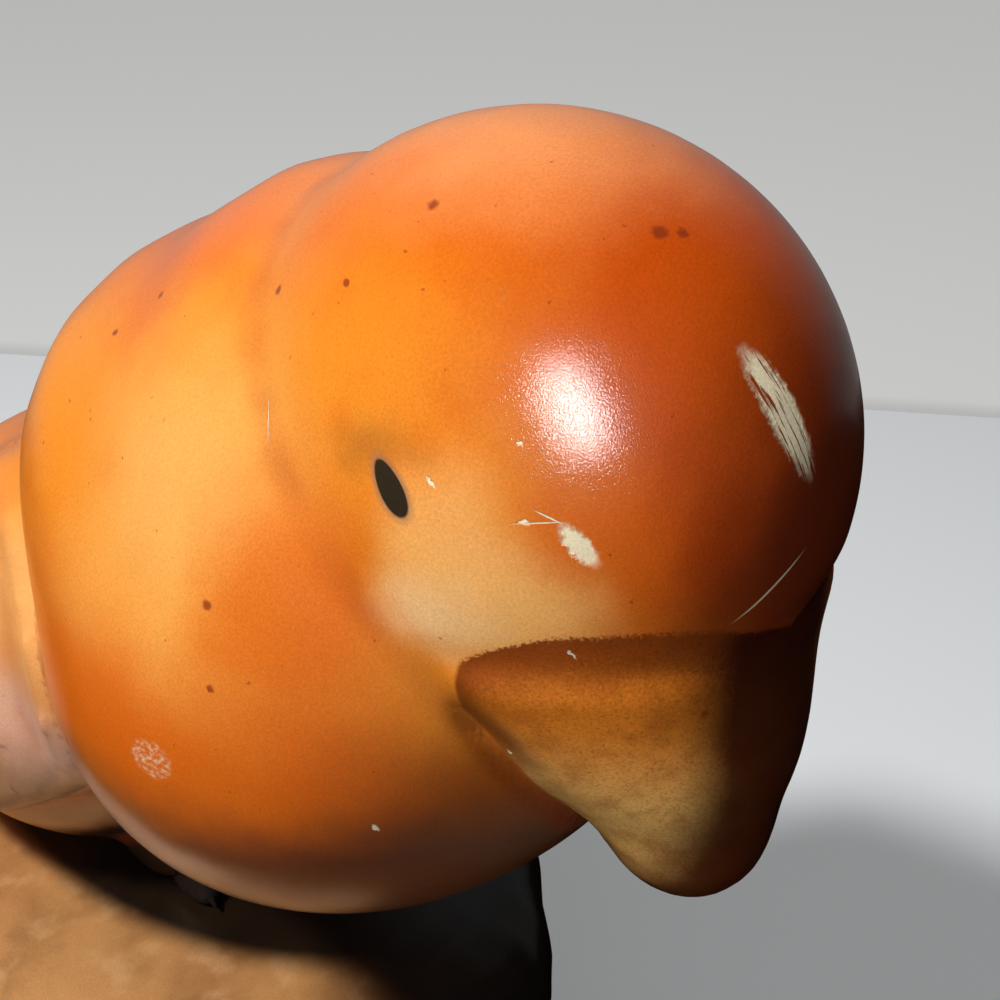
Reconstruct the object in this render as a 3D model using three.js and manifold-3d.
// A large slip-cast earthenware parrot that leans forward over a tree stump, as its maker luted it
// together: hollow castings for the head, body and stump, and press-moulded beak, wings, tail, thighs
// and feet.
// Millimetres, +Z up. The bird looks along -Y with its right wing at -X, and the origin lies on the
// underside of the plinth, beneath the belly.
import * as THREE from "three";
import { mergeVertices } from "three/addons/utils/BufferGeometryUtils.js";
import Module from "manifold-3d";

const wasm = await Module();
wasm.setup();

// Driving sizes: castings, and how widely the creases between their swellings are filled
const castingWall = 5;
const luteGap = 0.3;
const softCrease = 6;
const softSwelling = 12;

// Facets along each edge of the twenty-sided ball that a skin is shaped from, and around the stump
const skinFacets = 10;
const coreFacets = 5;
const limbFacets = 3;
const facetsPerRidge = 4;

// Driving sizes: plinth and stump
const plinthThickness = 9;
const plinthMargin = 5;
const ventRadius = 7;
const ventBehindOrigin = 45;
const stumpHeight = 106;
const stumpTopRadius = 65;
const stumpWaistRadius = 60;
const stumpFootRadius = 71;
const stumpRimRadius = 18;
const stumpOvalRatio = 1.25;
const stumpBehindOrigin = 20;
const barkRidges = 9;
const barkDepth = 1.8;

// Driving sizes: the bird's axis, from the rump seated on the stump up to the skull
const seatDepth = 5.5;
const rumpBehindStumpMiddle = 29.5;
const spineLength = 99.5;
const spineAngle = 29;
const neckLength = 50;
const neckAngle = 51;
const bodyAngle = 37;
const mantleBehindChest = 65.5;
const mantleRise = 21;
const bellyBehindChest = 48;
const bellyDrop = 16.5;

// Driving sizes: half width, half length and half height of the lumps that swell into each other
const rumpRadii = [50, 53.5, 49.5];
const chestRadii = [56, 71.5, 52.5];
const chestAngle = 52;
const shoulderRadii = [47, 35.5, 39];
const shoulderBehindChest = 21;
const shoulderAboveChest = 21;
const napeRadii = [42, 30.5, 45.5];
const napeBehindSkull = 20;
const napeDrop = 7;
const mantleRadii = [34, 39.5, 32];
const bellyRadii = [36, 38, 34];
const skullRadii = [39.5, 49.7, 45.2];
const throatRadii = [32, 26, 22];
const cheekRadius = 24.5;
const beakRootRadii = [22.5, 23, 20];
const beakRootAngle = -20;
const beakHookRadii = [14.5, 11.5, 19.5];
const beakHookAngle = -10;
const beakTipRadius = 7.5;
const beakBorderAngle = 4;

// Places on the face, as shares of the skull's half width, half length and half height from its middle
const throatShares = [0, -0.06, -0.553];
const cheekShares = [0.26, -0.1, -0.22];
const beakRootShares = [0, -0.412, -0.553];
const beakHookShares = [0, -0.604, -0.874];
const beakTipShares = [0, -0.644, -1.195];
const borderShares = [0, -0.926, -0.17];

// Driving sizes: wings, tail, thighs and feet
const wingAheadOfRump = 56;
const wingDrop = 4;
const wingRelief = 4.5;
const wingLength = 118;
const wingShoulder = 25;
const wingAbove = 58;
const wingBelow = 39;
const quillHeight = 36;
const quillThickness = 11;
const quillRise = 6;
const wingTipSpread = 17;
const wingTipOverhang = 30;
const tailBehindRump = 36;
const tailDrop = 8;
const tailLength = 128;
const tailAngle = 60;
const tailWidth = 46;
const tailThickness = 20;
const thighRadii = [11, 14, 22];
const thighSpread = 26;
const thighBehindOrigin = 22;
const thighSeat = 8;
const toeLength = 21;
const toeThickness = 9;
const toeSplayAngle = 15;

// Places
const radians = THREE.MathUtils.degToRad;
const place = (x, y, z) => new THREE.Vector3(x, y, z);
const sideways = place(1, 0, 0);
const forwardAndUp = (length, pitch) =>
  place(0, -length * Math.cos(radians(pitch)), length * Math.sin(radians(pitch)));
const leaningHeight = (radii, pitch) =>
  Math.hypot(radii[1] * Math.sin(radians(pitch)), radii[2] * Math.cos(radians(pitch)));

const stumpFoot = plinthThickness + luteGap;
const stumpTop = stumpFoot + stumpHeight;
const rumpAt = place(
  0,
  stumpBehindOrigin + rumpBehindStumpMiddle,
  stumpTop - seatDepth + leaningHeight(rumpRadii, bodyAngle),
);
const chestAt = rumpAt.clone().add(forwardAndUp(spineLength, spineAngle));
const besideSpine = (behindChest, rise) =>
  chestAt.clone().add(forwardAndUp(-behindChest, spineAngle)).add(place(0, 0, rise));
const mantleAt = besideSpine(mantleBehindChest, mantleRise);
const bellyAt = besideSpine(bellyBehindChest, -bellyDrop);
const shoulderAt = chestAt.clone().add(place(0, shoulderBehindChest, shoulderAboveChest));
const skullAt = chestAt.clone().add(forwardAndUp(neckLength, neckAngle));
const napeAt = skullAt.clone().add(place(0, napeBehindSkull, -napeDrop));
const onSkull = (shares) => place(...skullRadii).multiply(place(...shares)).add(skullAt);
const beakHookAt = onSkull(beakHookShares);

// An ellipsoid whose front is raised by pitch degrees
function lump(centre, radii, pitch = 0) {
  const unturn = new THREE.Quaternion().setFromAxisAngle(sideways, radians(pitch));
  return { centre, radii: place(...radii), unturn };
}

// An ellipsoid whose length runs from one point to another
function lumpBetween(from, to, width, height) {
  const span = to.clone().sub(from);
  const radii = place(width, span.length(), height).divideScalar(2);
  const unturn = new THREE.Quaternion().setFromUnitVectors(span.normalize(), place(0, 1, 0));
  return { centre: from.clone().lerp(to, 0.5), radii, unturn };
}

// A form is a function of a point, negative inside; creases between lumps are filled softly
const inLump = new THREE.Vector3();
function lumpDistance({ centre, radii, unturn }, point) {
  inLump.copy(point).sub(centre).applyQuaternion(unturn).divide(radii);
  const share = inLump.length();
  const steepness = inLump.divide(radii).length();
  return steepness ? (share * (share - 1)) / steepness : -Math.min(...radii.toArray());
}
function softer(a, b, radius) {
  const overlap = Math.max(radius - Math.abs(a - b), 0) / radius;
  return Math.min(a, b) - (overlap * overlap * radius) / 4;
}
const merged = (forms, radius) => (point) =>
  forms.map((form) => form(point)).reduce((a, b) => softer(a, b, radius));
const swollen = (lumps, radius) =>
  merged(
    lumps.map((each) => (point) => lumpDistance(each, point)),
    radius,
  );

const breast = swollen(
  [
    lump(chestAt, chestRadii, chestAngle),
    lump(shoulderAt, shoulderRadii, bodyAngle),
    lump(napeAt, napeRadii, bodyAngle),
  ],
  softSwelling,
);
const hindBody = swollen(
  [
    lump(rumpAt, rumpRadii, bodyAngle),
    lump(mantleAt, mantleRadii, bodyAngle),
    lump(bellyAt, bellyRadii),
  ],
  softSwelling,
);
const bodyForm = merged([breast, hindBody], softSwelling);

const [cheekAside, ...cheekRest] = cheekShares;
const cheek = (side) => lump(onSkull([side * cheekAside, ...cheekRest]), Array(3).fill(cheekRadius));
const face = swollen(
  [lump(skullAt, skullRadii, bodyAngle), lump(onSkull(throatShares), throatRadii), cheek(-1), cheek(1)],
  softCrease,
);
const bill = swollen(
  [
    lump(onSkull(beakRootShares), beakRootRadii, beakRootAngle),
    lump(beakHookAt, beakHookRadii, beakHookAngle),
    lump(onSkull(beakTipShares), Array(3).fill(beakTipRadius)),
  ],
  softSwelling,
);
const headForm = merged([face, bill], softSwelling);

// Solids
function solidOf(geometry) {
  geometry.deleteAttribute("normal");
  geometry.deleteAttribute("uv");
  const { index, attributes } = mergeVertices(geometry, 1e-4);
  const triVerts = new Uint32Array(index.array);
  const vertProperties = attributes.position.array;
  return new wasm.Manifold(new wasm.Mesh({ numProp: 3, vertProperties, triVerts }));
}

// The skin of a form, grown outward: a ball's points start on a line inside it, and each walks out to
// where the form ends
function cast(form, coreStart, coreEnd, detail, growth) {
  const middle = coreStart.clone().lerp(coreEnd, 0.5);
  const half = coreEnd.clone().sub(coreStart).divideScalar(2);
  const along = half.clone().normalize();
  const ball = new THREE.IcosahedronGeometry(1, detail);
  const corners = ball.getAttribute("position");
  const outward = new THREE.Vector3();
  const start = new THREE.Vector3();
  const point = new THREE.Vector3();
  const isInside = (distance) => form(point.copy(start).addScaledVector(outward, distance)) < growth;
  const stride = 2;
  const halvings = 14;
  for (let corner = 0; corner < corners.count; corner++) {
    outward.fromBufferAttribute(corners, corner).normalize();
    start.copy(middle).addScaledVector(half, outward.dot(along));
    let beyond = stride;
    while (isInside(beyond)) beyond += stride;
    let within = beyond - stride;
    for (let halving = 0; halving < halvings; halving++) {
      const between = (within + beyond) / 2;
      if (isInside(between)) within = between;
      else beyond = between;
    }
    isInside(within);
    corners.setXYZ(corner, point.x, point.y, point.z);
  }
  return solidOf(ball);
}

// A leaf-shaped solid from one point to another
function castBetween(from, to, width, height, detail, growth = 0) {
  const leaf = lumpBetween(from, to, width, height);
  const [coreStart, coreEnd] = [0.2, 0.8].map((share) => from.clone().lerp(to, share));
  return cast((point) => lumpDistance(leaf, point), coreStart, coreEnd, detail, growth);
}

// Pieces
const parrot = new THREE.Group();
const orange = { color: 0xd0601c, roughness: 0.36 };
const beakBrown = { color: 0x6e4228, roughness: 0.34 };
const tan = { color: 0xb48c5c, roughness: 0.5 };
const umber = { color: 0x5c3b22, roughness: 0.5 };
function addPiece(name, solid, finish) {
  const { vertProperties, triVerts } = solid.getMesh();
  const geometry = new THREE.BufferGeometry();
  geometry.setAttribute("position", new THREE.BufferAttribute(vertProperties, 3));
  geometry.setIndex(new THREE.BufferAttribute(triVerts, 1));
  geometry.computeVertexNormals();
  const piece = new THREE.Mesh(geometry, new THREE.MeshStandardMaterial({ ...finish, metalness: 0 }));
  piece.name = name;
  parrot.add(piece);
}

// Body casting, open at the neck
const castBody = (detail, growth) => cast(bodyForm, chestAt, rumpAt, detail, growth);
const castHead = (detail, growth) => cast(headForm, skullAt, beakHookAt, detail, growth);
const bodyAndLute = castBody(skinFacets, luteGap);
const bodyHollow = castBody(coreFacets, -castingWall);
const neckHole = castHead(coreFacets, -2 * castingWall);
addPiece("body_casting", castBody(skinFacets, 0).subtract(bodyHollow).subtract(neckHole), orange);

// Head casting down to the painted border of the beak, and the upper beak below that border
function beyondBorder(side) {
  const size = 4 * Math.max(...skullRadii);
  const block = new THREE.BoxGeometry(size, size, size);
  block.translate(0, 0, (side * (size + luteGap)) / 2).rotateX(-radians(beakBorderAngle));
  return solidOf(block.translate(...onSkull(borderShares).toArray()));
}
const headAndBeak = castHead(skinFacets, 0).subtract(bodyAndLute);
const headHollow = castHead(coreFacets, -castingWall);
addPiece("head_casting", headAndBeak.intersect(beyondBorder(1)).subtract(headHollow), orange);
addPiece("beak", headAndBeak.intersect(beyondBorder(-1)), beakBrown);

// Tail, from the rump down the back of the stump
const tailRootAt = rumpAt.clone().add(place(0, tailBehindRump, -tailDrop));
const tailTipAt = tailRootAt.clone().add(forwardAndUp(-tailLength, tailAngle));
const castTail = (growth) =>
  castBetween(tailRootAt, tailTipAt, tailWidth, tailThickness, coreFacets, growth);

// Stump casting, open beneath, with a seat that fits the belly, and the plinth that closes it
function turned(outline, ridgeDepth) {
  const lathe = new THREE.LatheGeometry(outline, facetsPerRidge * barkRidges).rotateX(Math.PI / 2);
  const corners = lathe.getAttribute("position");
  for (let corner = 0; corner < corners.count; corner++) {
    const [x, y] = [corners.getX(corner), corners.getY(corner)];
    const ridge = ridgeDepth * Math.cos(barkRidges * Math.atan2(x, y));
    const swell = 1 + ridge / stumpFootRadius;
    corners.setXYZ(corner, x * swell, y * swell * stumpOvalRatio, corners.getZ(corner));
  }
  return solidOf(lathe.translate(0, stumpBehindOrigin, 0));
}
function trunk(bottom, growth) {
  const foot = stumpFootRadius + growth;
  const waist = stumpWaistRadius + growth;
  const rim = stumpTopRadius + growth;
  const top = stumpTop + growth;
  const [waistStart, waistEnd] = [stumpFoot + stumpHeight / 4, top - stumpHeight / 3];
  const outline = new THREE.Path().moveTo(0, bottom).lineTo(foot, bottom);
  outline.bezierCurveTo(waist, waistStart, waist, waistEnd, rim, top - stumpRimRadius);
  outline.quadraticCurveTo(rim, top, rim - stumpRimRadius, top);
  outline.lineTo(0, top);
  return turned(outline.getPoints(coreFacets), barkDepth);
}
const stump = trunk(stumpFoot, 0).subtract(bodyAndLute);
const stumpAndLute = trunk(0, luteGap);
const stumpHollow = trunk(0, -castingWall).subtract(castBody(coreFacets, castingWall));
addPiece("stump_casting", stump.subtract(stumpHollow), tan);

const plinthRadius = stumpFootRadius + plinthMargin;
const plinthRounding = plinthThickness / 2;
const plinthOutline = new THREE.Path().moveTo(0, 0).lineTo(plinthRadius, 0);
plinthOutline.lineTo(plinthRadius, plinthThickness - plinthRounding);
const plinthRim = [plinthRadius, plinthThickness, plinthRadius - plinthRounding, plinthThickness];
plinthOutline.quadraticCurveTo(...plinthRim);
plinthOutline.lineTo(0, plinthThickness);
const plinth = turned(plinthOutline.getPoints(coreFacets), 0);
const vent = new THREE.CylinderGeometry(ventRadius, ventRadius, 3 * plinthThickness).rotateX(Math.PI / 2);
addPiece("plinth", plinth.subtract(solidOf(vent.translate(0, ventBehindOrigin, 0))), umber);

const seated = (limb) => limb.subtract(bodyAndLute).subtract(stumpAndLute);
addPiece("tail", seated(castTail(0)), orange);

// Wings in low relief on the sides of the body, each with free quills that lie over the root of the tail
const wingOutline = new THREE.Shape().moveTo(0, 0);
wingOutline.bezierCurveTo(-wingShoulder, wingAbove, wingLength / 2, wingAbove, wingLength, 0);
wingOutline.bezierCurveTo(wingLength / 2, -wingBelow / 2, 0, -wingBelow, 0, 0);
const wingFrontAt = rumpAt.clone().add(forwardAndUp(wingAheadOfRump, bodyAngle));
wingFrontAt.z -= wingDrop;
const alongWing = forwardAndUp(-1, bodyAngle);
const acrossWing = alongWing.clone().cross(sideways).negate();
const wingFrame = new THREE.Matrix4().makeBasis(alongWing, acrossWing, sideways).setPosition(wingFrontAt);
const onWing = (along, across, outward) => place(along, across, outward).applyMatrix4(wingFrame);
const reliefLayer = castBody(skinFacets, wingRelief);
function wing(side) {
  const depth = 2 * chestRadii[0];
  const panel = new THREE.ExtrudeGeometry(wingOutline, { depth, bevelEnabled: false });
  panel.translate(0, 0, ((side - 1) * depth + side * luteGap) / 2).applyMatrix4(wingFrame);
  const quillsAt = onWing(wingLength / 2, quillRise, side * (rumpRadii[0] - quillThickness));
  const tipAt = onWing(wingLength + wingTipOverhang, 0, (side * wingTipSpread) / 2);
  const quills = castBetween(quillsAt, tipAt, quillThickness, quillHeight, coreFacets);
  return reliefLayer.intersect(solidOf(panel)).add(quills);
}

// Thighs under the belly and two-toed feet on the stump
function thigh(thighAt, growth) {
  const form = (point) => lumpDistance(lump(thighAt, thighRadii), point);
  return cast(form, thighAt, thighAt, limbFacets, growth);
}
function toe(ankleAt, splay) {
  const reach = place(Math.sin(radians(splay)), -Math.cos(radians(splay)), 0).multiplyScalar(toeLength);
  return castBetween(ankleAt, ankleAt.clone().add(reach), toeThickness, toeThickness, limbFacets);
}

for (const [name, side] of [
  ["right", -1],
  ["left", 1],
]) {
  addPiece(name + "_wing", seated(wing(side).subtract(castTail(luteGap))), orange);
  const thighMiddle = stumpTop + thighRadii[2] - thighSeat;
  const thighAt = place((side * thighSpread) / 2, thighBehindOrigin, thighMiddle);
  addPiece(name + "_thigh", seated(thigh(thighAt, 0)), orange);
  const ankleAt = thighAt.clone().setZ(stumpTop + toeThickness / 3);
  const toes = toe(ankleAt, -toeSplayAngle).add(toe(ankleAt, toeSplayAngle));
  addPiece(name + "_foot", seated(toes.subtract(thigh(thighAt, luteGap))), umber);
}

export default parrot;
